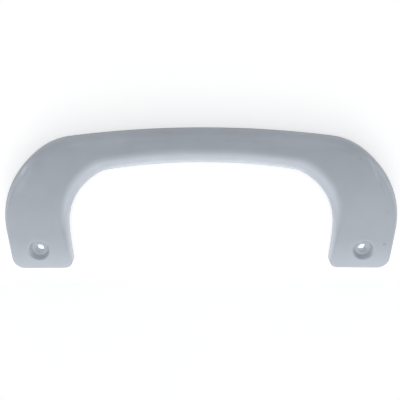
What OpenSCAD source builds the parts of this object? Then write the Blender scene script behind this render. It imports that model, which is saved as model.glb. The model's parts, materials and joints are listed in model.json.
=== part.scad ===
// Bow handle for a fridge door, moulded in one piece.
// X runs along the handle and Y points from the feet to the grip.
// Z leaves the mounting plane, which is z = 0.
// The origin lies midway between the two screw holes.

/* [Fixing] */
// Distance between the screw holes
hole_spacing = 270; // [250:0.5:290]
// Distance from the outer side of a foot to its screw hole
hole_inset = 25.2; // [20:0.1:30]
// Distance from a screw hole to the end of its foot
foot_end = 17.4; // [15:0.1:24]
// Diameter of the screw holes
screw_hole_d = 7; // [5:0.1:8]
// Diameter of the counterbore round each screw hole
counterbore_d = 16.4; // [14:0.1:18]
// Diameter of its flat seat, to which its wall slopes in
seat_d = 12.8; // [11:0.1:13.5]
// Depth of the counterbore
counterbore_depth = 3.5; // [2:0.1:4.5]
// Chamfer round the counterbore's rim
counterbore_chamfer = 0.8; // [0.2:0.1:1]

/* [Outline] */
// Height of the crown above the line of the screw holes
crown_h = 102.6; // [96:0.1:112]
// Radius of the long outer arc over the grip
crown_r = 800; // [600:10:1200]
// Radius of the upper part of the shoulders
shoulder_top_r = 54.2; // [44:0.1:60]
// Radius of the lower part of the shoulders
shoulder_side_r = 78.6; // [66:0.1:88]
// Direction, seen from the shoulder's centre, in which its two radii meet
shoulder_meet_a = 55; // [45:1:65]
// Lean of the outer foot sides towards the middle, in degrees
side_lean = 3.7; // [0:0.1:7]
// Width of a foot where the inner corner of the gap begins
foot_w = 50.6; // [46:0.1:56]
// Height of the grip's underside above the line of the screw holes
gap_h = 75.5; // [70:0.1:82]
// Radius of the long inner arc under the grip
gap_crown_r = 475; // [400:5:700]
// Radius of the upper part of the gap's corners
corner_top_r = 19; // [16:0.1:30]
// Radius of the lower part of the gap's corners
corner_side_r = 55.8; // [50:0.1:60]
// Direction, seen from the corner's centre, in which its two radii meet
corner_meet_a = 62; // [50:1:68]
// Radius of the inner foot sides, which swing back towards the middle
gap_side_r = 320; // [200:10:600]
// Plan radius of the outer foot corners
toe_outer_r = 10.2; // [4:0.1:12]
// Plan radius of the inner foot corners
toe_inner_r = 6.5; // [4:0.1:10]

/* [Section] */
// Thickness of the feet
foot_t = 10; // [9:0.1:12]
// Thickness of the grip
grip_t = 15.5; // [13:0.1:18]
// Height above the screw holes where the handle starts to thicken
thicken_from = 10; // [0:1:20]
// Height above the screw holes where the full thickness is reached
thicken_to = 90; // [75:1:110]
// Rounding of the front edge round the outside of the feet
foot_outer_round = 1.8; // [1:0.1:3]
// Height of the front rounding along the top of the grip
grip_outer_round = 7.5; // [5:0.1:9]
// Share of the grip's width that this rounding takes
grip_outer_share = 0.28; // [0.2:0.01:0.34]
// Rounding of the front edge round the inside of the feet
foot_inner_round = 2.4; // [1.5:0.1:4]
// Height of the front rounding along the underside of the grip
grip_inner_round = 11; // [8:0.1:12]
// Share of the grip's width that this rounding takes
grip_inner_share = 0.64; // [0.4:0.01:0.65]
// Height above the screw holes where this rounding starts to grow
inner_round_from = 0; // [-5:1:15]
// Rounding of the rear edge
rear_round = 0.8; // [0.4:0.1:1.2]

/* [Moulding] */
// Wall left round the cored rear
wall_t = 2.8; // [2.2:0.1:3.4]
// Thickness of the ribs in the cored rear
rib_t = 2; // [1.4:0.1:2.6]
// Wall of the tube round each screw hole
boss_wall = 3; // [2:0.1:4]

/* [Hidden] */
// Points on each stretch of one half of the outline
toe_steps = 5;
side_steps = 5;
side_bend_steps = 13;
top_bend_steps = 6;
crown_steps = 9;
// Steps round the front edge and round the rear edge
front_steps = 6;
rear_steps = 2;
// Stations at which a cross rib runs from wall to wall
rib_stations = [10, 14, 18, 22, 29, 32, 35, 38];
// How far a cutting shape runs past the face that it cuts
overcut = 1;
// Radius that a cored corner keeps where the wall takes up the whole rounding
least_core_round = 0.4;
// Radius that keeps the core's open rear edge sharp
core_rear_round = 0.01;
// Facets round the screw holes and round their counterbores
hole_facets = 64;
counterbore_facets = 96;
// Directions in degrees: to the crown, to the end of a foot and from a foot towards the middle
crown_way = 90;
end_way = -90;
middle_way = -180;
quarter_turn = 90;

hole_x = hole_spacing / 2;
half_l = hole_x + hole_inset;
half_gap = half_l - foot_w;

function direction(a) = [cos(a), sin(a)];
// Direction in which the long arc of radius r meets the first of two arcs that end at the half width
function meeting(half_w, r, top_r, side_r, meet_a) =
    acos((half_w - side_r - (top_r - side_r) * cos(meet_a)) / (r - top_r));

// Centres of the outer arcs, each touching the one before it from inside
crown_a = meeting(half_l, crown_r, shoulder_top_r, shoulder_side_r, shoulder_meet_a);
crown_c = [0, crown_h - crown_r];
shoulder_top_c = crown_c + (crown_r - shoulder_top_r) * direction(crown_a);
shoulder_side_c = shoulder_top_c + (shoulder_top_r - shoulder_side_r) * direction(shoulder_meet_a);

// Centres of the inner arcs, built the same way
gap_a = meeting(half_gap, gap_crown_r, corner_top_r, corner_side_r, corner_meet_a);
gap_c = [0, gap_h - gap_crown_r];
corner_top_c = gap_c + (gap_crown_r - corner_top_r) * direction(gap_a);
corner_side_c = corner_top_c + (corner_top_r - corner_side_r) * direction(corner_meet_a);

// Upper ends of the foot sides, the outer ones straight and the inner ones curved
side_top = shoulder_side_c + shoulder_side_r * direction(-side_lean);
gap_side_c = corner_side_c + [corner_side_r - gap_side_r, 0];
// Centres of the foot corners that touch them, and how far the inner sides have turned there
toe_outer_y = toe_outer_r - foot_end;
toe_inner_y = toe_inner_r - foot_end;
toe_outer_c = [
    side_top.x - (side_top.y - toe_outer_y) * tan(side_lean) - toe_outer_r / cos(side_lean),
    toe_outer_y
];
gap_swing = asin((gap_side_c.y - toe_inner_y) / (gap_side_r + toe_inner_r));
toe_inner_c = gap_side_c + (gap_side_r + toe_inner_r) * direction(-gap_swing);

function arc(c, r, from, to, steps) =
    [for (i = [0 : steps]) c + r * direction(from + (to - from) * i / steps)];
function line(a, b, steps) = [for (i = [0 : steps]) a + (b - a) * i / steps];
function tail(list) = [for (i = [1 : len(list) - 1]) list[i]];
function reverse(list) = [for (i = [len(list) - 1 : -1 : 0]) list[i]];

// One half of each side of the outline, from the foot end to the middle of the grip
toe_outer = arc(toe_outer_c, toe_outer_r, end_way, -side_lean, toe_steps);
outer_half = concat(
    toe_outer,
    tail(line(toe_outer[toe_steps], side_top, side_steps)),
    tail(arc(shoulder_side_c, shoulder_side_r, -side_lean, shoulder_meet_a, side_bend_steps)),
    tail(arc(shoulder_top_c, shoulder_top_r, shoulder_meet_a, crown_a, top_bend_steps)),
    tail(arc(crown_c, crown_r, crown_a, crown_way, crown_steps))
);
toe_inner = arc(toe_inner_c, toe_inner_r, end_way, middle_way - gap_swing, toe_steps);
inner_half = concat(
    toe_inner,
    tail(arc(gap_side_c, gap_side_r, -gap_swing, 0, side_steps)),
    tail(arc(corner_side_c, corner_side_r, 0, corner_meet_a, side_bend_steps)),
    tail(arc(corner_top_c, corner_top_r, corner_meet_a, gap_a, top_bend_steps)),
    tail(arc(gap_c, gap_crown_r, gap_a, crown_way, crown_steps))
);

// The whole of each side runs from the right foot over the grip to the left foot
function mirrored(half) = concat(half, [for (p = tail(reverse(half))) [-p.x, p.y]]);
outer_side = mirrored(outer_half);
inner_side = mirrored(inner_half);
stations = len(outer_side);
outline = concat(outer_side, reverse(inner_side));
outline_n = len(outline);

// Direction into the material at a point of the outline
function unit(v) = v / norm(v);
function inward(i) =
    let (along = unit(outline[(i + 1) % outline_n] - outline[(i + outline_n - 1) % outline_n]))
    [-along.y, along.x];

// Even and smooth rise from 0 to 1, and the value that far from one end value to the other
function even(from, to, value) = min(1, max(0, (value - from) / (to - from)));
function smooth(t) = t * t * (3 - 2 * t);
function mix(low, high, t) = low + (high - low) * t;
function rise(y) = smooth(even(thicken_from, thicken_to, y));
function inner_rise(y) = even(inner_round_from, thicken_to, y);
function thickness(y) = mix(foot_t, grip_t, rise(y));

// Height and width of the front rounding on the outer and the inner side
grip_w = crown_h - gap_h;
function round_high(i, y) = i < stations
    ? mix(foot_outer_round, grip_outer_round, rise(y))
    : mix(foot_inner_round, grip_inner_round, inner_rise(y));
function round_wide(i, y) = i < stations
    ? mix(foot_outer_round, grip_outer_share * grip_w, rise(y))
    : mix(foot_inner_round, grip_inner_share * grip_w, inner_rise(y));

// A closed skin over the outline, set in by a wall: rings from the rear up, then the two faces
module moulded_form(inset, rear_z, rear_r) {
    function high(i) = max(least_core_round, round_high(i, outline[i].y) - inset);
    function wide(i) = max(least_core_round, round_wide(i, outline[i].y) - inset);
    function place(i, depth, z) =
        let (p = outline[i] + inward(i) * (inset + depth))
        [p.x, p.y, z];
    rear_rings = [
        for (k = [0 : rear_steps])
            let (a = quarter_turn * k / rear_steps)
            [for (i = [0 : outline_n - 1]) place(i, rear_r * (1 - sin(a)), rear_z + rear_r * (1 - cos(a)))]
    ];
    front_rings = [
        for (k = [0 : front_steps])
            let (a = quarter_turn * k / front_steps)
            [for (i = [0 : outline_n - 1])
                place(i, wide(i) * (1 - cos(a)), thickness(outline[i].y) - inset - high(i) * (1 - sin(a)))]
    ];
    rings = concat(rear_rings, front_rings);
    last = len(rings) - 1;
    points = [for (ring = rings) each ring];
    sides = [
        for (k = [0 : last - 1])
            for (i = [0 : outline_n - 1])
                let (j = (i + 1) % outline_n, low = k * outline_n, high = low + outline_n)
                each [[low + i, high + i, high + j], [low + i, high + j, low + j]]
    ];
    function across(i) = outline_n - 1 - i;
    rear_face = [
        for (i = [0 : stations - 2])
            each [[i, i + 1, across(i + 1)], [i, across(i + 1), across(i)]]
    ];
    top = last * outline_n;
    front_face = [
        for (f = rear_face)
            [top + f[2], top + f[1], top + f[0]]
    ];
    polyhedron(points, concat(sides, rear_face, front_face));
}

module body_form() {
    moulded_form(0, 0, rear_round);
}

module core_form() {
    moulded_form(wall_t, -overcut, core_rear_round);
}

// A rib across the handle at one station, as tall as the core
module cross_rib(station) {
    a = outer_side[station];
    b = inner_side[station];
    middle = (a + b) / 2;
    translate([middle.x, middle.y, 0])
        rotate([0, 0, atan2(b.y - a.y, b.x - a.x)])
            translate([-norm(b - a) / 2, -rib_t / 2, 0])
                cube([norm(b - a), rib_t, grip_t]);
}

// The rib that runs up the middle of a foot through the screw hole
module foot_rib() {
    translate([hole_x - rib_t / 2, -foot_end, 0])
        cube([rib_t, outer_side[rib_stations[0]].y + foot_end, grip_t]);
    translate([half_gap, -rib_t / 2, 0])
        cube([half_l - half_gap, rib_t, grip_t]);
}

// The tube round a screw hole, with the cup that carries the counterbore
module boss() {
    cup_floor = foot_t - counterbore_depth - wall_t;
    cylinder(h = foot_t, d = screw_hole_d + 2 * boss_wall, $fn = hole_facets);
    translate([0, 0, cup_floor])
        cylinder(h = foot_t - cup_floor, d = counterbore_d + 2 * wall_t, $fn = counterbore_facets);
}

module screw_hole() {
    wall_slope = (counterbore_d - seat_d) / (counterbore_depth - counterbore_chamfer);
    wall_h = counterbore_depth + overcut;
    translate([0, 0, -overcut])
        cylinder(h = foot_t + 2 * overcut, d = screw_hole_d, $fn = hole_facets);
    translate([0, 0, foot_t - counterbore_depth])
        cylinder(h = wall_h, d1 = seat_d, d2 = seat_d + wall_slope * wall_h, $fn = counterbore_facets);
    translate([0, 0, foot_t - counterbore_chamfer])
        cylinder(
            h = counterbore_chamfer + overcut,
            r1 = counterbore_d / 2,
            r2 = counterbore_d / 2 + counterbore_chamfer + overcut,
            $fn = counterbore_facets
        );
}

module both_feet() {
    children();
    mirror([1, 0, 0]) children();
}

module ribs() {
    for (station = rib_stations) cross_rib(station);
    foot_rib();
}

module door_handle() {
    color([0.72, 0.73, 0.76])
        difference() {
            body_form();
            difference() {
                core_form();
                both_feet() ribs();
                both_feet() translate([hole_x, 0, 0]) boss();
            }
            both_feet() translate([hole_x, 0, 0]) screw_hole();
        }
}

door_handle();
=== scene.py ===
"""The bow handle's finish, its stage and its camera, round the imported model.

The handle is one moulding. Its outside, its cored rear, its screw tubes and its ribs are
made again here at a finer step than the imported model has, from the same sizes. Two things
differ from it: the roll under the grip turns down a little sooner, and the corners of the
screw holes and counterbores are softened.
"""

import json
import logging
import math
from dataclasses import dataclass, field

import bmesh
import bpy
from mathutils import Matrix, Vector

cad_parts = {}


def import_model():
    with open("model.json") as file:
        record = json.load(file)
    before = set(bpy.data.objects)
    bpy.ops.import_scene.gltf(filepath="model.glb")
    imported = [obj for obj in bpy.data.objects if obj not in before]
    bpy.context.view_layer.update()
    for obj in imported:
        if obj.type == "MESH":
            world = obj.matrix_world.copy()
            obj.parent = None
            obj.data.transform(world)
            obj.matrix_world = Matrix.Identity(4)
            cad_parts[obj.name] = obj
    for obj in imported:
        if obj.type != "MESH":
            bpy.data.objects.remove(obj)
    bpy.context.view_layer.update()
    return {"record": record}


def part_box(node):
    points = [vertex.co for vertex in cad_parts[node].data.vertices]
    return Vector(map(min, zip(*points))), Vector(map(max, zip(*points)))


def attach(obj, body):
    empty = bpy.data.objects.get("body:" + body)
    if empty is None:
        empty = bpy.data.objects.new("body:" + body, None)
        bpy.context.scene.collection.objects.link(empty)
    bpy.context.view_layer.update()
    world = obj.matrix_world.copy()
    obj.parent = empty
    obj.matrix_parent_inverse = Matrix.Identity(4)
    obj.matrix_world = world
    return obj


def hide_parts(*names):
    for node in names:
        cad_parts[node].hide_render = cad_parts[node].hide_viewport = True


Level = float | bpy.types.NodeSocket

log = logging.getLogger("door_handle")
MM = 0.001
NODE = "door_handle"
SAME_POINT = 0.002 * MM
SENSOR_MM = 36
NOISE_SPAN = (0.3, 0.7)
HANDLE_MIDDLE = (0, 0.045, 0)


def direction(angle: float) -> Vector:
    """The unit vector at an angle in degrees from +X towards +Y."""
    return Vector((math.cos(math.radians(angle)), math.sin(math.radians(angle))))


def arc(centre: Vector, radius: float, start: float, end: float, steps: int) -> list[Vector]:
    """Points along an arc.

    Args:
        centre: Centre of the arc.
        radius: Radius of the arc.
        start: Angle of the first point, in degrees.
        end: Angle of the last point, in degrees.
        steps: Number of equal steps between them.

    Returns:
        One point more than there are steps.
    """
    angles = [start + (end - start) * i / steps for i in range(steps + 1)]
    return [centre + radius * direction(angle) for angle in angles]


def line(start: Vector, end: Vector, steps: int) -> list[Vector]:
    """Evenly spaced points from start to end, both included."""
    return [start.lerp(end, i / steps) for i in range(steps + 1)]


def softened(corners: list[Vector], reach: float, steps: int = 6) -> list[Vector]:
    """A line through corners, with every inner corner turned into a small curve.

    Args:
        corners: The corners in order.
        reach: How far from a corner its curve begins and ends.
        steps: Steps in each curve.

    Returns:
        The points of the softened line.
    """
    points = [corners[0]]
    for before, corner, after in zip(corners, corners[1:], corners[2:]):
        start = corner + (before - corner).normalized() * reach
        end = corner + (after - corner).normalized() * reach
        for i in range(steps + 1):
            share = i / steps
            points.append(start.lerp(corner, share).lerp(corner.lerp(end, share), share))
    return points + [corners[-1]]


def even(start: float, end: float, value: float) -> float:
    """An even rise from 0 at start to 1 at end."""
    return min(1.0, max(0.0, (value - start) / (end - start)))


def mix(low: float, high: float, share: float) -> float:
    """The value that lies a share of the way from low to high."""
    return low + (high - low) * share


@dataclass(frozen=True)
class Steps:
    """How finely each stretch of one half of the outline is divided.

    Attributes:
        toe: Steps round the foot corner.
        side: Steps up the foot side.
        side_bend: Steps round the bend that meets the foot side.
        top_bend: Steps round the bend that meets the long arc.
        crown: Steps along the long arc.
        bend_ribs: Steps of the side bend at which a rib runs across.
        crown_ribs: Steps of the long arc at which a rib runs across.
    """

    toe: int = 15
    side: int = 10
    side_bend: int = 65
    top_bend: int = 30
    crown: int = 54
    bend_ribs: tuple[int, ...] = (0, 20, 40, 60)
    crown_ribs: tuple[int, ...] = (0, 18, 36, 54)

    def rib_stations(self) -> list[int]:
        """Points of one half at which a rib runs across, from the foot to the grip's middle."""
        bend_from = self.toe + self.side
        crown_from = bend_from + self.side_bend + self.top_bend
        return [bend_from + k for k in self.bend_ribs] + [crown_from + k for k in self.crown_ribs]


@dataclass(frozen=True)
class Bend:
    """Two arcs, one after the other, that carry a long arc round into a straight side.

    Attributes:
        top_r: Radius of the arc that meets the long one.
        side_r: Radius of the arc that meets the side.
        meet: Direction in which the two meet, in degrees.
    """

    top_r: float
    side_r: float
    meet: float


@dataclass(frozen=True)
class Outline:
    """The handle seen from the front, in metres.

    Attributes:
        half_l: Half of the overall length.
        foot_end: Distance from the screw holes to the foot ends.
        foot_w: Width of a foot where the inner corner of the gap begins.
        crown_h: Height of the crown above the screw holes.
        crown_r: Radius of the long outer arc.
        shoulder: The outer bend.
        side_lean: Lean of the straight outer foot sides, in degrees.
        gap_h: Height of the grip's underside above the screw holes.
        gap_crown_r: Radius of the long inner arc.
        corner: The inner bend.
        gap_side_r: Radius of the inner foot sides, which swing back towards the middle.
        toe_outer_r: Plan radius of the outer foot corners.
        toe_inner_r: Plan radius of the inner foot corners.
    """

    half_l: float
    foot_end: float = 17.4 * MM
    foot_w: float = 50.6 * MM
    crown_h: float = 102.6 * MM
    crown_r: float = 800 * MM
    shoulder: Bend = Bend(54.2 * MM, 78.6 * MM, 55)
    side_lean: float = 3.7
    gap_h: float = 75.5 * MM
    gap_crown_r: float = 475 * MM
    corner: Bend = Bend(19 * MM, 55.8 * MM, 62)
    gap_side_r: float = 320 * MM
    toe_outer_r: float = 10.2 * MM
    toe_inner_r: float = 6.5 * MM

    @property
    def half_gap(self) -> float:
        """Half of the gap's width at its widest."""
        return self.half_l - self.foot_w

    def _arch(
        self, half_w: float, top_y: float, long_r: float, bend: Bend, end: float, steps: Steps,
    ) -> tuple[Vector, list[Vector]]:
        """The two bends and the long arc of one half of one side.

        Args:
            half_w: Distance from the middle to the furthest point.
            top_y: Height of the long arc's middle.
            long_r: Radius of the long arc.
            bend: The two arcs that follow the long one.
            end: Direction in which the lower bend begins, in degrees.
            steps: How finely each stretch is divided.

        Returns:
            Centre of the lower bend, and the points from there to the middle of the grip.
        """
        reach = half_w - bend.side_r - (bend.top_r - bend.side_r) * direction(bend.meet).x
        start = math.degrees(math.acos(reach / (long_r - bend.top_r)))
        long_c = Vector((0, top_y - long_r))
        top_c = long_c + (long_r - bend.top_r) * direction(start)
        side_c = top_c + (bend.top_r - bend.side_r) * direction(bend.meet)
        return side_c, (
            arc(side_c, bend.side_r, end, bend.meet, steps.side_bend)
            + arc(top_c, bend.top_r, bend.meet, start, steps.top_bend)[1:]
            + arc(long_c, long_r, start, 90, steps.crown)[1:]
        )

    def _outer(self, steps: Steps) -> list[Vector]:
        """One half of the outer side, from the foot end over a straight foot side to the crown."""
        _, arch = self._arch(
            self.half_l, self.crown_h, self.crown_r, self.shoulder, -self.side_lean, steps
        )
        lean, toe_r = math.radians(self.side_lean), self.toe_outer_r
        toe_y = toe_r - self.foot_end
        toe_x = arch[0].x - (arch[0].y - toe_y) * math.tan(lean) - toe_r / math.cos(lean)
        toe = arc(Vector((toe_x, toe_y)), toe_r, -90, -self.side_lean, steps.toe)
        return toe + line(toe[-1], arch[0], steps.side)[1:] + arch[1:]

    def _inner(self, steps: Steps) -> list[Vector]:
        """One half of the inner side, from the foot end over a curved foot side to the grip."""
        corner_c, arch = self._arch(
            self.half_gap, self.gap_h, self.gap_crown_r, self.corner, 0, steps
        )
        side_c = corner_c + Vector((self.corner.side_r - self.gap_side_r, 0))
        toe_r = self.toe_inner_r
        swing = math.degrees(
            math.asin((side_c.y - toe_r + self.foot_end) / (self.gap_side_r + toe_r))
        )
        toe_c = side_c + (self.gap_side_r + toe_r) * direction(-swing)
        toe = arc(toe_c, toe_r, -90, -180 - swing, steps.toe)
        return toe + arc(side_c, self.gap_side_r, -swing, 0, steps.side)[1:] + arch[1:]

    def loop(self, steps: Steps) -> tuple[list[Vector], int]:
        """The closed outline.

        Args:
            steps: How finely each stretch is divided.

        Returns:
            The points, outer side first and inner side back, and the number on each side.
        """
        outer, inner = (
            half + [Vector((-p.x, p.y)) for p in reversed(half[:-1])]
            for half in (self._outer(steps), self._inner(steps))
        )
        return outer + inner[::-1], len(outer)


@dataclass(frozen=True)
class FrontEdge:
    """How one front edge is rounded, from the feet to the grip.

    Attributes:
        foot: Radius at the feet.
        grip_high: Height of the rounding at the grip.
        grip_share: Share of the grip's width that the rounding takes.
        power: Power of its curve: 2 is an ellipse, and less turns down sooner.
    """

    foot: float
    grip_high: float
    grip_share: float
    power: float = 2


@dataclass(frozen=True)
class Section:
    """The handle cut across, in metres: how thick it is and how its edges turn.

    Attributes:
        grip_w: Width of the grip.
        foot_t: Thickness of the feet.
        grip_t: Thickness of the grip.
        thicken: Heights between which the thickness grows.
        outer: The outer front edge.
        inner: The inner front edge.
        inner_from: Height where the inner rounding starts to grow.
        rear_round: Rounding of the rear edge.
        wall_t: Wall left round the cored rear.
        rib_t: Thickness of the ribs.
        least_core_round: Smallest rounding of a cored corner.
        core_rear_round: Rounding at the rear end of the form that cores the handle.
    """

    grip_w: float
    foot_t: float = 10 * MM
    grip_t: float = 15.5 * MM
    thicken: tuple[float, float] = (10 * MM, 90 * MM)
    outer: FrontEdge = FrontEdge(1.8 * MM, 7.5 * MM, 0.28)
    inner: FrontEdge = FrontEdge(2.4 * MM, 11 * MM, 0.64, 1.7)
    inner_from: float = 0
    rear_round: float = 0.8 * MM
    wall_t: float = 2.8 * MM
    rib_t: float = 2 * MM
    least_core_round: float = 0.4 * MM
    core_rear_round: float = 0.02 * MM

    def rise(self, y: float) -> float:
        """Smooth share of the growth that is reached at a height above the screw holes."""
        t = even(*self.thicken, y)
        return t * t * (3 - 2 * t)

    def thickness(self, y: float) -> float:
        """Thickness at a height above the screw holes."""
        return mix(self.foot_t, self.grip_t, self.rise(y))

    def rounding(self, y: float, outer: bool, inset: float) -> tuple[float, float]:
        """Width and height of a front edge's rounding.

        Args:
            y: Height above the screw holes.
            outer: True for the outer edge.
            inset: How far the skin lies inside the outside.

        Returns:
            The width and the height.
        """
        edge = self.outer if outer else self.inner
        share = self.rise(y) if outer else even(self.inner_from, self.thicken[1], y)
        wide = mix(edge.foot, edge.grip_share * self.grip_w, share)
        high = mix(edge.foot, edge.grip_high, share)
        return max(self.least_core_round, wide - inset), max(self.least_core_round, high - inset)


@dataclass(frozen=True)
class ScrewHole:
    """A screw hole, its counterbore and the tube behind it, in metres.

    Attributes:
        spacing: Distance between the two holes.
        hole_r: Radius of the hole.
        counterbore_r: Radius of the counterbore under its chamfer.
        seat_r: Radius of the flat seat at its bottom.
        depth: Depth of the counterbore.
        chamfer: Chamfer round its rim.
        soft: How far the corners are softened.
        lip_rise: How far the softened rim ends above the face, so that the cut is clean.
        boss_wall: Wall of the tube.
    """

    spacing: float
    hole_r: float
    counterbore_r: float = 8.2 * MM
    seat_r: float = 6.4 * MM
    depth: float = 3.5 * MM
    chamfer: float = 0.8 * MM
    soft: float = 0.35 * MM
    lip_rise: float = 0.01 * MM
    boss_wall: float = 3 * MM


def new_object(name: str, mesh: bmesh.types.BMesh) -> bpy.types.Object:
    """Puts a finished bmesh into the scene as an object at the origin."""
    data = bpy.data.meshes.new(name)
    mesh.to_mesh(data)
    mesh.free()
    made = bpy.data.objects.new(name, data)
    bpy.context.scene.collection.objects.link(made)
    return made


def settle(thing: bpy.types.Object) -> None:
    """Turns an object's modifiers into its own plain mesh and takes the modifiers off."""
    graph = bpy.context.evaluated_depsgraph_get()
    plain = bpy.data.meshes.new_from_object(thing.evaluated_get(graph))
    thing.modifiers.clear()
    thing.data = plain


def carve(target: bpy.types.Object, tools: list[bpy.types.Object]) -> None:
    """Cuts forms out of an object and removes the forms.

    Args:
        target: The object that is cut.
        tools: The forms, which are used up.
    """
    for tool in tools:
        step = target.modifiers.new(tool.name, "BOOLEAN")
        step.object = tool
        step.operation = "DIFFERENCE"
        step.solver = "MANIFOLD"
    settle(target)
    for tool in tools:
        bpy.data.objects.remove(tool)


def turned(
    name: str, profile: list[Vector] | list[tuple[float, float]], centre: Vector, facets: int = 128
) -> bpy.types.Object:
    """A closed solid of revolution about an upright axis.

    Args:
        name: Name of the new object.
        profile: Radius and height of each corner, from the lower end of the axis to the upper.
        centre: Where the axis stands, in plan.
        facets: Facets round the axis.

    Returns:
        The new object.
    """
    mesh = bmesh.new()
    turn = [direction(360 * i / facets) for i in range(facets)]
    rings = [
        [mesh.verts.new((*(centre + radius * way), height)) for way in turn]
        for radius, height in profile
    ]
    for low, high in zip(rings, rings[1:]):
        for i in range(facets):
            j = (i + 1) % facets
            mesh.faces.new((low[i], low[j], high[j], high[i]))
    mesh.faces.new(rings[0][::-1])
    mesh.faces.new(rings[-1])
    bmesh.ops.recalc_face_normals(mesh, faces=mesh.faces)
    return new_object(name, mesh)


def feed(tree: bpy.types.NodeTree, value: Level, socket: bpy.types.NodeSocket) -> None:
    """Gives a socket a plain value, or links another socket to it."""
    if isinstance(value, bpy.types.NodeSocket):
        tree.links.new(value, socket)
    else:
        socket.default_value = value


def worked_out(tree: bpy.types.NodeTree, operation: str, *values: Level) -> bpy.types.NodeSocket:
    """Adds a math node.

    Args:
        tree: The node tree.
        operation: What the node works out.
        values: Its inputs in order.

    Returns:
        The socket that gives the result.
    """
    node = tree.nodes.new("ShaderNodeMath")
    node.operation = operation
    for value, socket in zip(values, node.inputs):
        feed(tree, value, socket)
    return node.outputs[0]


@dataclass(frozen=True)
class RibMaker:
    """Slabs that stand on a set of lines, made by a node tree.

    Attributes:
        thick: Thickness of a slab.
        height: Height of a slab above the rear face.
        overcut: How far a slab reaches behind the rear face.
    """

    thick: float
    height: float
    overcut: float

    def tree(self) -> bpy.types.NodeTree:
        """Builds the node tree that stands one slab on every line of its input mesh."""
        tree = bpy.data.node_groups.new("Ribs on lines", "GeometryNodeTree")
        face = tree.interface
        face.new_socket("Lines", in_out="INPUT", socket_type="NodeSocketGeometry")
        for name in ("Rib thickness", "Rib height", "Reach behind"):
            face.new_socket(name, in_out="INPUT", socket_type="NodeSocketFloat")
        face.new_socket("Material", in_out="INPUT", socket_type="NodeSocketMaterial")
        face.new_socket("Ribs", in_out="OUTPUT", socket_type="NodeSocketGeometry")
        add, link = tree.nodes.new, tree.links.new
        given, out = add("NodeGroupInput"), add("NodeGroupOutput")
        ends = add("GeometryNodeInputMeshEdgeVertices")
        span = add("ShaderNodeVectorMath")
        span.operation = "SUBTRACT"
        link(ends.outputs["Position 2"], span.inputs[0])
        link(ends.outputs["Position 1"], span.inputs[1])
        keep = add("GeometryNodeCaptureAttribute")
        keep.domain = "EDGE"
        keep.capture_items.new("VECTOR", "Span")
        link(given.outputs["Lines"], keep.inputs["Geometry"])
        link(span.outputs[0], keep.inputs["Span"])
        points = add("GeometryNodeMeshToPoints")
        points.mode = "EDGES"
        link(keep.outputs["Geometry"], points.inputs["Mesh"])
        length = add("ShaderNodeVectorMath")
        length.operation = "LENGTH"
        link(keep.outputs["Span"], length.inputs[0])
        size = add("ShaderNodeCombineXYZ")
        link(length.outputs["Value"], size.inputs["X"])
        link(given.outputs["Rib thickness"], size.inputs["Y"])
        height, behind = given.outputs["Rib height"], given.outputs["Reach behind"]
        link(worked_out(tree, "ADD", height, behind), size.inputs["Z"])
        aim = add("FunctionNodeAlignRotationToVector")
        aim.axis = "X"
        aim.pivot_axis = "Z"
        link(keep.outputs["Span"], aim.inputs["Vector"])
        slab = add("GeometryNodeMeshCube")
        stand = add("GeometryNodeInstanceOnPoints")
        link(points.outputs["Points"], stand.inputs["Points"])
        link(slab.outputs["Mesh"], stand.inputs["Instance"])
        link(aim.outputs["Rotation"], stand.inputs["Rotation"])
        link(size.outputs["Vector"], stand.inputs["Scale"])
        lift = add("ShaderNodeCombineXYZ")
        twice_middle = worked_out(tree, "SUBTRACT", height, behind)
        link(worked_out(tree, "MULTIPLY", twice_middle, 0.5), lift.inputs["Z"])
        raised = add("GeometryNodeTranslateInstances")
        raised.inputs["Local Space"].default_value = False
        link(stand.outputs["Instances"], raised.inputs["Instances"])
        link(lift.outputs["Vector"], raised.inputs["Translation"])
        real = add("GeometryNodeRealizeInstances")
        link(raised.outputs["Instances"], real.inputs["Geometry"])
        coated = add("GeometryNodeSetMaterial")
        link(real.outputs["Geometry"], coated.inputs["Geometry"])
        link(given.outputs["Material"], coated.inputs["Material"])
        link(coated.outputs["Geometry"], out.inputs["Ribs"])
        return tree

    def build(
        self, lines: list[tuple[Vector, Vector]], skin: bpy.types.Material
    ) -> bpy.types.Object:
        """Stands the slabs on their lines.

        Args:
            lines: Both ends of each line, in plan.
            skin: Material of the slabs.

        Returns:
            One object with all the slabs, as a plain mesh.
        """
        mesh = bmesh.new()
        for ends in lines:
            mesh.edges.new([mesh.verts.new((p.x, p.y, 0)) for p in ends])
        ribs = new_object("ribs", mesh)
        grow = ribs.modifiers.new("Ribs", "NODES")
        tree = self.tree()
        values = {
            "Rib thickness": self.thick,
            "Rib height": self.height,
            "Reach behind": self.overcut,
            "Material": skin,
        }
        grow.node_group = tree
        for item in tree.interface.items_tree:
            if item.in_out == "INPUT" and item.name in values:
                grow[item.identifier] = values[item.name]
        settle(ribs)
        return ribs


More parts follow.
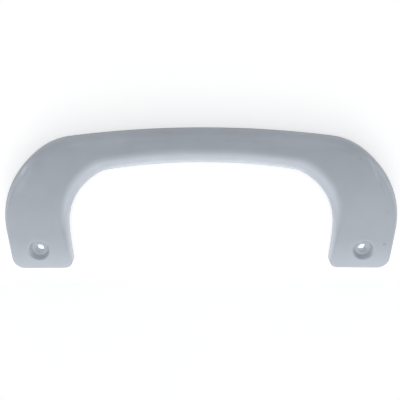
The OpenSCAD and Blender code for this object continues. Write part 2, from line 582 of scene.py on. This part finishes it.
@dataclass
class Handle:
    """The one-piece handle.

    Attributes:
        outline: The handle seen from the front.
        hole: The screw holes.
        section: The handle cut across.
        steps: How finely the outline is divided.
        front_steps: Steps round the front edge.
        rear_steps: Steps round the rear edge.
        across: Steps across the front face.
        overcut: How far a cutting form runs past the face it cuts.
        crisp_from: Angle in degrees from which an edge stays crisp.
        loop: The points of the outline.
        stations: How many of them are on the outer side.
        inwards: The way into the material at each point.
    """

    outline: Outline
    hole: ScrewHole
    section: Section
    steps: Steps = field(default_factory=Steps)
    front_steps: int = 24
    rear_steps: int = 4
    across: int = 10
    overcut: float = 1 * MM
    crisp_from: float = 32
    loop: list[Vector] = field(init=False)
    stations: int = field(init=False)
    inwards: list[Vector] = field(init=False)

    def __post_init__(self) -> None:
        """Works out the outline and the way into the material at each of its points."""
        self.loop, self.stations = self.outline.loop(self.steps)
        n = len(self.loop)
        self.inwards = []
        for i in range(n):
            along = (self.loop[(i + 1) % n] - self.loop[i - 1]).normalized()
            self.inwards.append(Vector((-along.y, along.x)))

    def _form(
        self, name: str, inset: float, rear_z: float, rear_r: float, front_steps: int
    ) -> bpy.types.Object:
        """A closed skin over the outline, set in by a wall.

        Args:
            name: Name of the new object.
            inset: How far the skin lies inside the outside.
            rear_z: Height of the rear face.
            rear_r: Rounding of the rear edge.
            front_steps: Steps round the front edge.

        Returns:
            The new object.
        """
        section, loop, n = self.section, self.loop, len(self.loop)
        mesh = bmesh.new()
        skin: list[list[bmesh.types.BMVert]] = []
        for k in range(self.rear_steps + 1):
            a = math.pi / 2 * k / self.rear_steps
            depth = inset + rear_r * (1 - math.sin(a))
            z = rear_z + rear_r * (1 - math.cos(a))
            skin.append([
                mesh.verts.new((*(p + inward * depth), z)) for p, inward in zip(loop, self.inwards)
            ])
        rounds = [section.rounding(p.y, i < self.stations, inset) for i, p in enumerate(loop)]
        edges = [section.outer if i < self.stations else section.inner for i in range(n)]
        powers = [2 / edge.power for edge in edges]
        for k in range(front_steps + 1):
            a = math.pi / 2 * k / front_steps
            ring = []
            for p, inward, (wide, high), power in zip(loop, self.inwards, rounds, powers):
                place = p + inward * (inset + wide * (1 - abs(math.cos(a)) ** power))
                z = section.thickness(place.y) - inset - high * (1 - math.sin(a) ** power)
                ring.append(mesh.verts.new((*place, z)))
            skin.append(ring)
        for low, high in zip(skin, skin[1:]):
            for i in range(n):
                j = (i + 1) % n
                mesh.faces.new((low[i], low[j], high[j], high[i]))
        self._face(mesh, skin[0], 1, None)
        self._face(mesh, skin[-1], self.across, inset)
        bmesh.ops.recalc_face_normals(mesh, faces=mesh.faces)
        return new_object(name, mesh)

    def _face(
        self,
        mesh: bmesh.types.BMesh,
        ring: list[bmesh.types.BMVert],
        across: int,
        inset: float | None,
    ) -> None:
        """Closes a ring with strips that run from the outer side to the inner side.

        Args:
            mesh: The mesh that gets the faces.
            ring: The ring's corners.
            across: Steps across a strip.
            inset: How far the face lies under the handle's front, or None for a flat face.
        """
        rows = []
        for i in range(self.stations):
            outer, inner = ring[i], ring[len(ring) - 1 - i]
            row = [outer]
            for k in range(1, across if 0 < i < self.stations - 1 else 1):
                place = outer.co.lerp(inner.co, k / across)
                if inset is not None:
                    place.z = self.section.thickness(place.y) - inset
                row.append(mesh.verts.new(place))
            rows.append(row + [inner])
        for one, other in zip(rows, rows[1:]):
            if len(one) != len(other):
                mesh.faces.new(one + other[::-1])
                continue
            for k in range(len(one) - 1):
                mesh.faces.new((one[k], other[k], other[k + 1], one[k + 1]))

    def _rib_lines(self) -> list[tuple[Vector, Vector]]:
        """Both ends of every rib: across the handle, up each foot and across each foot."""
        last = len(self.loop) - 1
        half = [(self.loop[i], self.loop[last - i]) for i in self.steps.rib_stations()]
        hole_x = self.hole.spacing / 2
        half.append((Vector((hole_x, -self.outline.foot_end)), Vector((hole_x, half[0][0].y))))
        half.append((Vector((self.outline.half_gap, 0)), Vector((self.outline.half_l, 0))))
        turned_over = [tuple(Vector((-p.x, p.y)) for p in ends) for ends in half]
        return half + [ends for ends in turned_over if ends[0].x < -MM]

    def _boss(self, centre: Vector) -> bpy.types.Object:
        """The tube round a screw hole and the cup that carries the counterbore."""
        hole, foot_t = self.hole, self.section.foot_t
        cup_r = hole.counterbore_r + self.section.wall_t
        cup_z = foot_t - hole.depth - self.section.wall_t
        tube_r = hole.hole_r + hole.boss_wall
        profile = [(tube_r, 0), (tube_r, cup_z), (cup_r, cup_z), (cup_r, foot_t)]
        return turned("boss", profile, centre)

    def _hole(self, centre: Vector) -> bpy.types.Object:
        """The form that cuts a screw hole, its counterbore and their soft edges."""
        hole, foot_t = self.hole, self.section.foot_t
        floor_z = foot_t - hole.depth
        mouth_r = hole.counterbore_r + hole.chamfer
        profile = softened([
            Vector((hole.hole_r, -self.overcut)),
            Vector((hole.hole_r, floor_z)),
            Vector((hole.seat_r, floor_z)),
            Vector((hole.counterbore_r, foot_t - hole.chamfer)),
            Vector((mouth_r, foot_t)),
            Vector((mouth_r + 2 * hole.soft, foot_t + hole.lip_rise)),
        ], hole.soft)
        profile.append(Vector((profile[-1].x, foot_t + self.overcut)))
        return turned("screw hole", profile, centre)

    def build(self, skin: bpy.types.Material) -> bpy.types.Object:
        """Makes the handle.

        Args:
            skin: The plastic.

        Returns:
            The handle as one object with a plain mesh.
        """
        section = self.section
        handle = self._form("bow_handle", 0, 0, section.rear_round, self.front_steps)
        core = self._form(
            "core", section.wall_t, -self.overcut, section.core_rear_round, self.front_steps // 2
        )
        maker = RibMaker(section.rib_t, section.grip_t, 2 * self.overcut)
        centres = [Vector((side * self.hole.spacing / 2, 0)) for side in (1, -1)]
        carve(core, [maker.build(self._rib_lines(), skin)])
        carve(core, [self._boss(centre) for centre in centres])
        carve(handle, [core])
        carve(handle, [self._hole(centre) for centre in centres])
        dress(handle, skin, self.crisp_from)
        return handle


def dress(thing: bpy.types.Object, skin: bpy.types.Material, sharp: float) -> None:
    """Gives an object its material and smooths it over all edges less sharp than an angle.

    Args:
        thing: The object.
        skin: Its material.
        sharp: Angle in degrees from which an edge stays crisp.
    """
    thing.data.materials.clear()
    thing.data.materials.append(skin)
    mesh = bmesh.new()
    mesh.from_mesh(thing.data)
    bmesh.ops.remove_doubles(mesh, verts=mesh.verts, dist=SAME_POINT)
    bmesh.ops.dissolve_degenerate(mesh, edges=mesh.edges, dist=SAME_POINT)
    for face in mesh.faces:
        face.smooth = True
        face.material_index = 0
    for edge in mesh.edges:
        edge.smooth = len(edge.link_faces) == 2 and edge.calc_face_angle() < math.radians(sharp)
    mesh.to_mesh(thing.data)
    mesh.free()


def shader_group(
    name: str, inputs: dict[str, tuple[str, float | tuple | None]], output: str
) -> tuple[bpy.types.NodeTree, bool]:
    """A shader node group with named sockets, made the first time it is asked for.

    Args:
        name: Name of the group.
        inputs: Kind and default of each input, or None where a material always gives it.
        output: Name of the single value it gives.

    Returns:
        The group, and True if it is new and still empty.
    """
    found = bpy.data.node_groups.get(name)
    if found:
        return found, False
    tree = bpy.data.node_groups.new(name, "ShaderNodeTree")
    for socket, (kind, value) in inputs.items():
        made = tree.interface.new_socket(socket, in_out="INPUT", socket_type=kind)
        if value is not None:
            made.default_value = value
    tree.interface.new_socket(output, in_out="OUTPUT", socket_type="NodeSocketFloat")
    return tree, True


def mottle_group() -> bpy.types.NodeTree:
    """Slow, soft variation between two values."""
    tree, fresh = shader_group("Mottle", {
        "Place": ("NodeSocketVector", None), "Scale": ("NodeSocketFloat", None),
        "Low": ("NodeSocketFloat", None), "High": ("NodeSocketFloat", None),
    }, "Value")
    if fresh:
        add, link = tree.nodes.new, tree.links.new
        given, out = add("NodeGroupInput"), add("NodeGroupOutput")
        noise, spread = add("ShaderNodeTexNoise"), add("ShaderNodeMapRange")
        noise.inputs["Detail"].default_value = 3
        link(given.outputs["Place"], noise.inputs["Vector"])
        link(given.outputs["Scale"], noise.inputs["Scale"])
        link(noise.outputs[0], spread.inputs["Value"])
        for socket, value in zip(("From Min", "From Max"), NOISE_SPAN):
            spread.inputs[socket].default_value = value
        link(given.outputs["Low"], spread.inputs["To Min"])
        link(given.outputs["High"], spread.inputs["To Max"])
        link(spread.outputs[0], out.inputs["Value"])
    return tree


def mottled(
    tree: bpy.types.NodeTree, place: bpy.types.NodeSocket, scale: float, middle: float, swing: float
) -> bpy.types.NodeSocket:
    """Adds a value that varies slowly and softly over an object.

    Args:
        tree: The material's node tree.
        place: The place on the object.
        scale: Scale of the variation, finer as it grows.
        middle: The value's mean.
        swing: How far it goes up and down, as a share of the mean.

    Returns:
        The socket that gives the value.
    """
    made = tree.nodes.new("ShaderNodeGroup")
    made.node_tree = mottle_group()
    made.inputs["Scale"].default_value = scale
    made.inputs["Low"].default_value = middle * (1 - swing)
    made.inputs["High"].default_value = middle * (1 + swing)
    tree.links.new(place, made.inputs["Place"])
    return made.outputs["Value"]


def grain_group() -> bpy.types.NodeTree:
    """The faint waviness and fine grain of a moulded face, as a height."""
    tree, fresh = shader_group("Moulded grain", {
        "Place": ("NodeSocketVector", None), "Wave scale": ("NodeSocketFloat", 260.0),
        "Grain scale": ("NodeSocketFloat", 2600.0), "Grain share": ("NodeSocketFloat", 0.35),
    }, "Height")
    if fresh:
        add, link = tree.nodes.new, tree.links.new
        given, out = add("NodeGroupInput"), add("NodeGroupOutput")
        heights = []
        for scale in ("Wave scale", "Grain scale"):
            noise = add("ShaderNodeTexNoise")
            noise.inputs["Detail"].default_value = 2
            link(given.outputs["Place"], noise.inputs["Vector"])
            link(given.outputs[scale], noise.inputs["Scale"])
            heights.append(noise.outputs[0])
        both = add("ShaderNodeMix")
        link(given.outputs["Grain share"], both.inputs["Factor"])
        link(heights[0], both.inputs["A"])
        link(heights[1], both.inputs["B"])
        link(both.outputs["Result"], out.inputs["Height"])
    return tree


def patch_group() -> bpy.types.NodeTree:
    """A soft oval patch about a point: 1 inside, 0 outside."""
    tree, fresh = shader_group("Oval patch", {
        "Place": ("NodeSocketVector", None), "Centre": ("NodeSocketVector", None),
        "Reach": ("NodeSocketVector", (1, 1, 1)), "Turn": ("NodeSocketFloat", 0),
        "Soft": ("NodeSocketFloat", 0.5),
    }, "Value")
    if fresh:
        add, link = tree.nodes.new, tree.links.new
        given, out = add("NodeGroupInput"), add("NodeGroupOutput")
        away, turned_back = add("ShaderNodeVectorMath"), add("ShaderNodeVectorRotate")
        share, length = add("ShaderNodeVectorMath"), add("ShaderNodeVectorMath")
        fall = add("ShaderNodeMapRange")
        away.operation, share.operation, length.operation = "SUBTRACT", "DIVIDE", "LENGTH"
        turned_back.rotation_type = "Z_AXIS"
        turned_back.invert = True
        fall.interpolation_type = "SMOOTHSTEP"
        link(given.outputs["Place"], away.inputs[0])
        link(given.outputs["Centre"], away.inputs[1])
        link(away.outputs["Vector"], turned_back.inputs["Vector"])
        link(given.outputs["Turn"], turned_back.inputs["Angle"])
        link(turned_back.outputs["Vector"], share.inputs[0])
        link(given.outputs["Reach"], share.inputs[1])
        link(share.outputs["Vector"], length.inputs[0])
        link(length.outputs["Value"], fall.inputs["Value"])
        fall.inputs["From Min"].default_value = 1
        link(worked_out(tree, "ADD", given.outputs["Soft"], 1), fall.inputs["From Max"])
        fall.inputs["To Min"].default_value = 1
        fall.inputs["To Max"].default_value = 0
        link(fall.outputs[0], out.inputs["Value"])
    return tree


@dataclass(frozen=True)
class Patch:
    """A soft oval patch that goes right through the height, in metres.

    Attributes:
        centre: Its centre.
        reach: Half its length and half its width, inside its rim.
        soft: Width of its rim as a share of the reach.
        turn: Angle of its length from X, in degrees.
        change: How much lighter (above 0) or darker it makes a colour.
    """

    centre: tuple[float, float]
    reach: tuple[float, float]
    soft: float
    turn: float = 0
    change: float = 0

    def mask(self, tree: bpy.types.NodeTree, place: bpy.types.NodeSocket) -> bpy.types.NodeSocket:
        """Adds the patch to a material.

        Args:
            tree: The material's node tree.
            place: The place on the object.

        Returns:
            The socket that is 1 inside the patch and 0 outside.
        """
        made = tree.nodes.new("ShaderNodeGroup")
        made.node_tree = patch_group()
        made.inputs["Centre"].default_value = (*self.centre, 0)
        made.inputs["Reach"].default_value = (*self.reach, 1)
        made.inputs["Turn"].default_value = math.radians(self.turn)
        made.inputs["Soft"].default_value = self.soft
        tree.links.new(place, made.inputs["Place"])
        return made.outputs["Value"]


@dataclass(frozen=True)
class Plastic:
    """Moulded silver-grey plastic with a few faint marks, painted highlights and painted
    reflections.

    Attributes:
        colour: Its colour.
        roughness: How dull it is.
        metallic: How much of the look comes from the metal flake in it.
        colour_scale: Scale of the slow change of its colour.
        colour_swing: How far the colour goes up and down, as a share.
        dull_scale: Scale of the slow change of its roughness.
        dull_swing: How far the roughness goes up and down, as a share.
        grain_strength: How strongly the waviness and grain of the face show.
        grain_height: Height of that waviness and grain, in metres.
        marks_and_highlights: A dark speck and faint darker marks of handling, painted highlights
            along both shoulders, and painted reflections that lighten both ends of the grip's top.
    """

    colour: tuple[float, float, float] = (0.412, 0.444, 0.492)
    roughness: float = 0.36
    metallic: float = 0.2
    colour_scale: float = 45
    colour_swing: float = 0.03
    dull_scale: float = 160
    dull_swing: float = 0.1
    grain_strength: float = 0.12
    grain_height: float = 0.05 * MM
    marks_and_highlights: tuple[Patch, ...] = (
        # Painted highlight along the left shoulder, and a wider, softer painted highlight round it.
        Patch((-139 * MM, 71 * MM), (2.6 * MM, 0.7 * MM), 1.6, 60, 0.2),
        Patch((-139 * MM, 66 * MM), (9 * MM, 2 * MM), 1.5, 60, 0.07),
        # Painted highlight along the right shoulder, and a faint darker streak beside it.
        Patch((135.5 * MM, 71.5 * MM), (6.5 * MM, 0.5 * MM), 1.4, 117, 0.12),
        Patch((142.5 * MM, 58 * MM), (6.5 * MM, 0.4 * MM), 1.4, 117, -0.06),
        # A dark speck and two faint darker spots on the plastic.
        Patch((151.8 * MM, 5.1 * MM), (0.8 * MM, 0.8 * MM), 1.1, 0, -0.22),
        Patch((150.4 * MM, 34.5 * MM), (1.3 * MM, 0.7 * MM), 1.2, 0, -0.06),
        Patch((122.9 * MM, 81.1 * MM), (1.1 * MM, 0.9 * MM), 1.0, 0, -0.06),
        # Painted reflections: softly lighter patches near both ends of the grip's top.
        Patch((-79 * MM, 95 * MM), (16 * MM, 2.5 * MM), 1.6, 4, 0.07),
        Patch((79 * MM, 95 * MM), (16 * MM, 2.5 * MM), 1.6, -4, 0.07),
    )

    def material(self) -> bpy.types.Material:
        """Builds the material."""
        made = bpy.data.materials.new("silver plastic")
        made.use_nodes = True
        tree = made.node_tree
        add, link = tree.nodes.new, tree.links.new
        shader = tree.nodes["Principled BSDF"]
        shader.inputs["Metallic"].default_value = self.metallic
        place = add("ShaderNodeTexCoord").outputs["Object"]
        tint = add("ShaderNodeMix")
        tint.data_type = "RGBA"
        tint.blend_type = "MULTIPLY"
        tint.inputs["Factor"].default_value = 1
        tint.inputs["A"].default_value = (*self.colour, 1)
        tone = mottled(tree, place, self.colour_scale, 1, self.colour_swing)
        # Each entry lightens or darkens the colour: the marks of handling, and the painted
        # highlights and reflections.
        for mark_or_highlight in self.marks_and_highlights:
            tone = worked_out(tree, "MULTIPLY_ADD", mark_or_highlight.mask(tree, place), mark_or_highlight.change, tone)
        link(tone, tint.inputs["B"])
        link(tint.outputs["Result"], shader.inputs["Base Color"])
        dull = mottled(tree, place, self.dull_scale, self.roughness, self.dull_swing)
        link(dull, shader.inputs["Roughness"])
        grain = add("ShaderNodeGroup")
        grain.node_tree = grain_group()
        link(place, grain.inputs["Place"])
        bump = add("ShaderNodeBump")
        bump.inputs["Strength"].default_value = self.grain_strength
        bump.inputs["Distance"].default_value = self.grain_height
        link(grain.outputs["Height"], bump.inputs["Height"])
        link(bump.outputs["Normal"], shader.inputs["Normal"])
        return made


@dataclass(frozen=True)
class Lamp:
    """A white lamp with a rectangular face, which the camera doesn't see.

    Attributes:
        name: Its name.
        place: Where it stands, in metres.
        size: Its width and height.
        power: Its power in watts.
        aim: The point it faces.
    """

    name: str
    place: tuple[float, float, float]
    size: tuple[float, float]
    power: float
    aim: tuple[float, float, float] = HANDLE_MIDDLE

    def build(self) -> None:
        """Sets up the lamp."""
        data = bpy.data.lights.new(self.name, "AREA")
        data.shape = "RECTANGLE"
        data.size, data.size_y = self.size
        data.energy = self.power
        made = bpy.data.objects.new(self.name, data)
        made.visible_camera = False
        made.location = self.place
        away = Vector(self.place) - Vector(self.aim)
        made.rotation_euler = away.to_track_quat("Z", "Y").to_euler()
        bpy.context.scene.collection.objects.link(made)


def white_seen(tree: bpy.types.NodeTree, glow: Level, shine: Level) -> bpy.types.NodeSocket:
    """Extra white that the backdrop shows to the camera and in reflections, and to nothing else.

    Args:
        tree: The backdrop's node tree.
        glow: White for the camera, straight or through clear things.
        shine: White for reflections.

    Returns:
        The socket that gives the white.
    """
    path, total = tree.nodes.new("ShaderNodeLightPath"), 0
    rays = {"Is Camera Ray": glow, "Is Transmission Ray": glow, "Is Glossy Ray": shine}
    for ray, share in rays.items():
        total = worked_out(tree, "MULTIPLY_ADD", path.outputs[ray], share, total)
    return total


@dataclass(frozen=True)
class Studio:
    """The pale floor, the lamps and the even light round them.

    Attributes:
        holes: The patches of white floor seen through the screw holes, on both sides alike.
        opening: The white floor inside the opening of the handle.
        floor_half: Half the side of the floor.
        near: The floor near the handle.
        floor_glow: White that the floor adds there for the camera.
        far_glow: The same far from the handle, where less light falls on the floor.
        floor_shine: White that the floor shows in reflections.
        opening_shine: The same inside the opening.
        floor_grey: Colour of the floor.
        floor_dull: Roughness of the floor.
        cloud_scale: Scale of the slow change of its colour.
        cloud_swing: How far the colour goes up and down, as a share.
        ambient: Strength of the even light.
        ambient_tint: Colour of the even light.
        lamps: The soft boxes.
        hole_light: Power of the light that comes up through each screw hole.
        hole_light_share: Its width as a share of the hole's.
        hole_light_z: Its height above the floor.
    """

    holes: Patch
    opening: Patch
    floor_half: float = 3
    near: Patch = Patch((0, 0.04), (0.35, 0.35), 3)
    floor_glow: float = 0.40
    far_glow: float = 0.62
    floor_shine: float = 0.2
    opening_shine: float = 0.8
    floor_grey: float = 0.8
    floor_dull: float = 0.9
    cloud_scale: float = 6
    cloud_swing: float = 0.01
    ambient: float = 0.46
    ambient_tint: tuple[float, float, float] = (0.97, 0.985, 1.0)
    lamps: tuple[Lamp, ...] = (
        Lamp("front soft box", (0, -0.973, 0.636), (1.8, 0.42), 2.2),
        Lamp("high front soft box", (0, -0.694, 0.946), (1.8, 0.42), 0.59),
        Lamp("low front soft box", (0, -1.129, 0.250), (1.8, 0.42), 1.22),
        Lamp("low back soft box", (0, 1.173, 0.410), (1.8, 0.45), 0.85),
        Lamp("back soft box", (0, 0.894, 0.849), (1.8, 0.45), 1.13),
        Lamp("high back soft box", (0, 0.455, 1.128), (1.8, 0.45), 0.81),
        Lamp("left soft box", (-0.919, 0.045, 0.771), (1.0, 0.45), 0.51),
        Lamp("right soft box", (0.919, 0.045, 0.771), (1.0, 0.45), 0.51),
        Lamp("low left soft box", (-1.159, 0.045, 0.311), (1.0, 0.45), 1.72),
        Lamp("low right soft box", (1.159, 0.045, 0.311), (1.0, 0.45), 1.72),
        Lamp("low white card", (0, -0.035, 0.05), (1.2, 0.06), 0.25, (0, 1, 0.05)),
        Lamp("light panel in the opening", (0, 0.012, 0.0005), (0.15, 0.08), 0.07, (0, 0.012, 1)),
    )
    hole_light: float = 0.00011
    hole_light_share: float = 0.85
    hole_light_z: float = 0.3 * MM

    def build(self) -> None:
        """Sets the even light, lays the floor and hangs the lamps."""
        self._even_light()
        self._lay_floor()
        for lamp in self.lamps:
            lamp.build()
        wide = 2 * self.holes.reach[0] * self.hole_light_share
        for x in (self.holes.centre[0], -self.holes.centre[0]):
            place, aim = (x, 0, self.hole_light_z), (x, 0, 1)
            Lamp("light under a screw hole", place, (wide, wide), self.hole_light, aim).build()

    def _even_light(self) -> None:
        """Sets the even light from all round, and the white that stands behind it."""
        world = bpy.data.worlds.new("even light")
        world.use_nodes = True
        bpy.context.scene.world = world
        tree = world.node_tree
        back = tree.nodes["Background"]
        back.inputs["Color"].default_value = (*self.ambient_tint, 1)
        back.inputs["Strength"].default_value = self.ambient
        white = tree.nodes.new("ShaderNodeBackground")
        white.inputs["Color"].default_value = (1, 1, 1, 1)
        both = tree.nodes.new("ShaderNodeMixShader")
        tree.links.new(white_seen(tree, 1, self.floor_shine), both.inputs[0])
        tree.links.new(back.outputs[0], both.inputs[1])
        tree.links.new(white.outputs[0], both.inputs[2])
        tree.links.new(both.outputs[0], tree.nodes["World Output"].inputs["Surface"])

    def _lay_floor(self) -> None:
        """Lays the floor."""
        mesh = bmesh.new()
        h = self.floor_half
        corners = ((-h, -h, 0), (h, -h, 0), (h, h, 0), (-h, h, 0))
        mesh.faces.new([mesh.verts.new(corner) for corner in corners])
        floor = new_object("floor", mesh)
        floor.data.materials.append(self._floor_material())

    def _floor_material(self) -> bpy.types.Material:
        """White paper, shaded a little by the handle, with extra white for camera and shine."""
        made = bpy.data.materials.new("floor")
        made.use_nodes = True
        tree = made.node_tree
        add, link = tree.nodes.new, tree.links.new
        shader = tree.nodes["Principled BSDF"]
        shader.inputs["Roughness"].default_value = self.floor_dull
        shader.inputs["Specular IOR Level"].default_value = 0
        place = add("ShaderNodeTexCoord").outputs["Object"]
        cloud = mottled(tree, place, self.cloud_scale, self.floor_grey, self.cloud_swing)
        link(cloud, shader.inputs["Base Color"])
        sides = add("ShaderNodeVectorMath")
        sides.operation = "ABSOLUTE"
        link(place, sides.inputs[0])
        around = self._level(tree, place, self.near, self.far_glow, self.floor_glow)
        glow = self._level(tree, sides.outputs[0], self.holes, around, 1)
        shine = self._level(tree, place, self.opening, self.floor_shine, self.opening_shine)
        link(white_seen(tree, glow, shine), shader.inputs["Emission Color"])
        shader.inputs["Emission Strength"].default_value = 1
        return made

    @staticmethod
    def _level(
        tree: bpy.types.NodeTree,
        place: bpy.types.NodeSocket,
        patch: Patch,
        outside: Level,
        inside: float,
    ) -> bpy.types.NodeSocket:
        """A strength that changes at the rim of a patch of the floor.

        Args:
            tree: The floor's node tree.
            place: The place on the floor.
            patch: The patch.
            outside: Strength outside it, or the socket that gives it.
            inside: Strength inside it.

        Returns:
            The socket that gives the strength.
        """
        level = tree.nodes.new("ShaderNodeMapRange")
        values = {"Value": patch.mask(tree, place), "To Min": outside, "To Max": inside}
        for name, value in values.items():
            feed(tree, value, level.inputs[name])
        return level.outputs[0]


@dataclass(frozen=True)
class Viewpoint:
    """The camera, above the crown and looking down at the handle.

    Attributes:
        centre: The point in the middle of the picture, in metres.
        tilt: Angle between the line of sight and the handle's front normal, in degrees.
        distance: Distance to the centre.
        focal: Focal length as a share of the picture's width.
        roll: Turn of the camera about its line of sight, in degrees.
        nearest: Nearest distance that it sees.
    """

    centre: tuple[float, float, float] = (-0.91 * MM, 44.98 * MM, 10 * MM)
    tilt: float = 22
    distance: float = 483.95 * MM
    focal: float = 1.505
    roll: float = -0.09
    nearest: float = 10 * MM

    def build(self) -> None:
        """Sets up the camera and makes it the scene's own."""
        data = bpy.data.cameras.new("camera")
        data.sensor_width = SENSOR_MM
        data.lens = self.focal * SENSOR_MM
        data.clip_start = self.nearest
        camera = bpy.data.objects.new("camera", data)
        lean = math.radians(self.tilt)
        turn = Matrix.Rotation(-lean, 4, "X") @ Matrix.Rotation(math.radians(self.roll), 4, "Z")
        away = Vector((0, math.sin(lean), math.cos(lean))) * self.distance
        camera.matrix_world = Matrix.Translation(Vector(self.centre) + away) @ turn
        bpy.context.scene.collection.objects.link(camera)
        bpy.context.scene.camera = camera


def main() -> None:
    """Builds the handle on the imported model's frame, its stage and its camera."""
    logging.basicConfig(level=logging.INFO, format="%(message)s")
    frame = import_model()
    scene = bpy.context.scene
    scene.view_settings.view_transform = "Standard"
    screws = next(m["dims"] for m in frame["record"]["mounts"] if m["name"] == "screw_holes")
    low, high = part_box(NODE)
    outline = Outline(half_l=(high[0] - low[0]) / 2)
    hole = ScrewHole(spacing=screws["spacing_x_mm"] * MM, hole_r=screws["hole_r_mm"] * MM)
    section = Section(grip_w=outline.crown_h - outline.gap_h)
    handle = Handle(outline, hole, section).build(Plastic().material())
    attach(handle, "root")
    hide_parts(NODE)
    log.info("bow handle: %d faces", len(handle.data.polygons))
    studio = Studio(
        holes=Patch(centre=(hole.spacing / 2, 0), reach=(hole.hole_r, hole.hole_r), soft=0.15),
        opening=Patch(centre=(0, 0), reach=(outline.half_gap, outline.gap_h), soft=0.12),
    )
    studio.build()
    log.info("stage: floor and %d lamps", len(studio.lamps))
    Viewpoint().build()
    log.info("camera set")


if __name__ == "__main__":
    main()
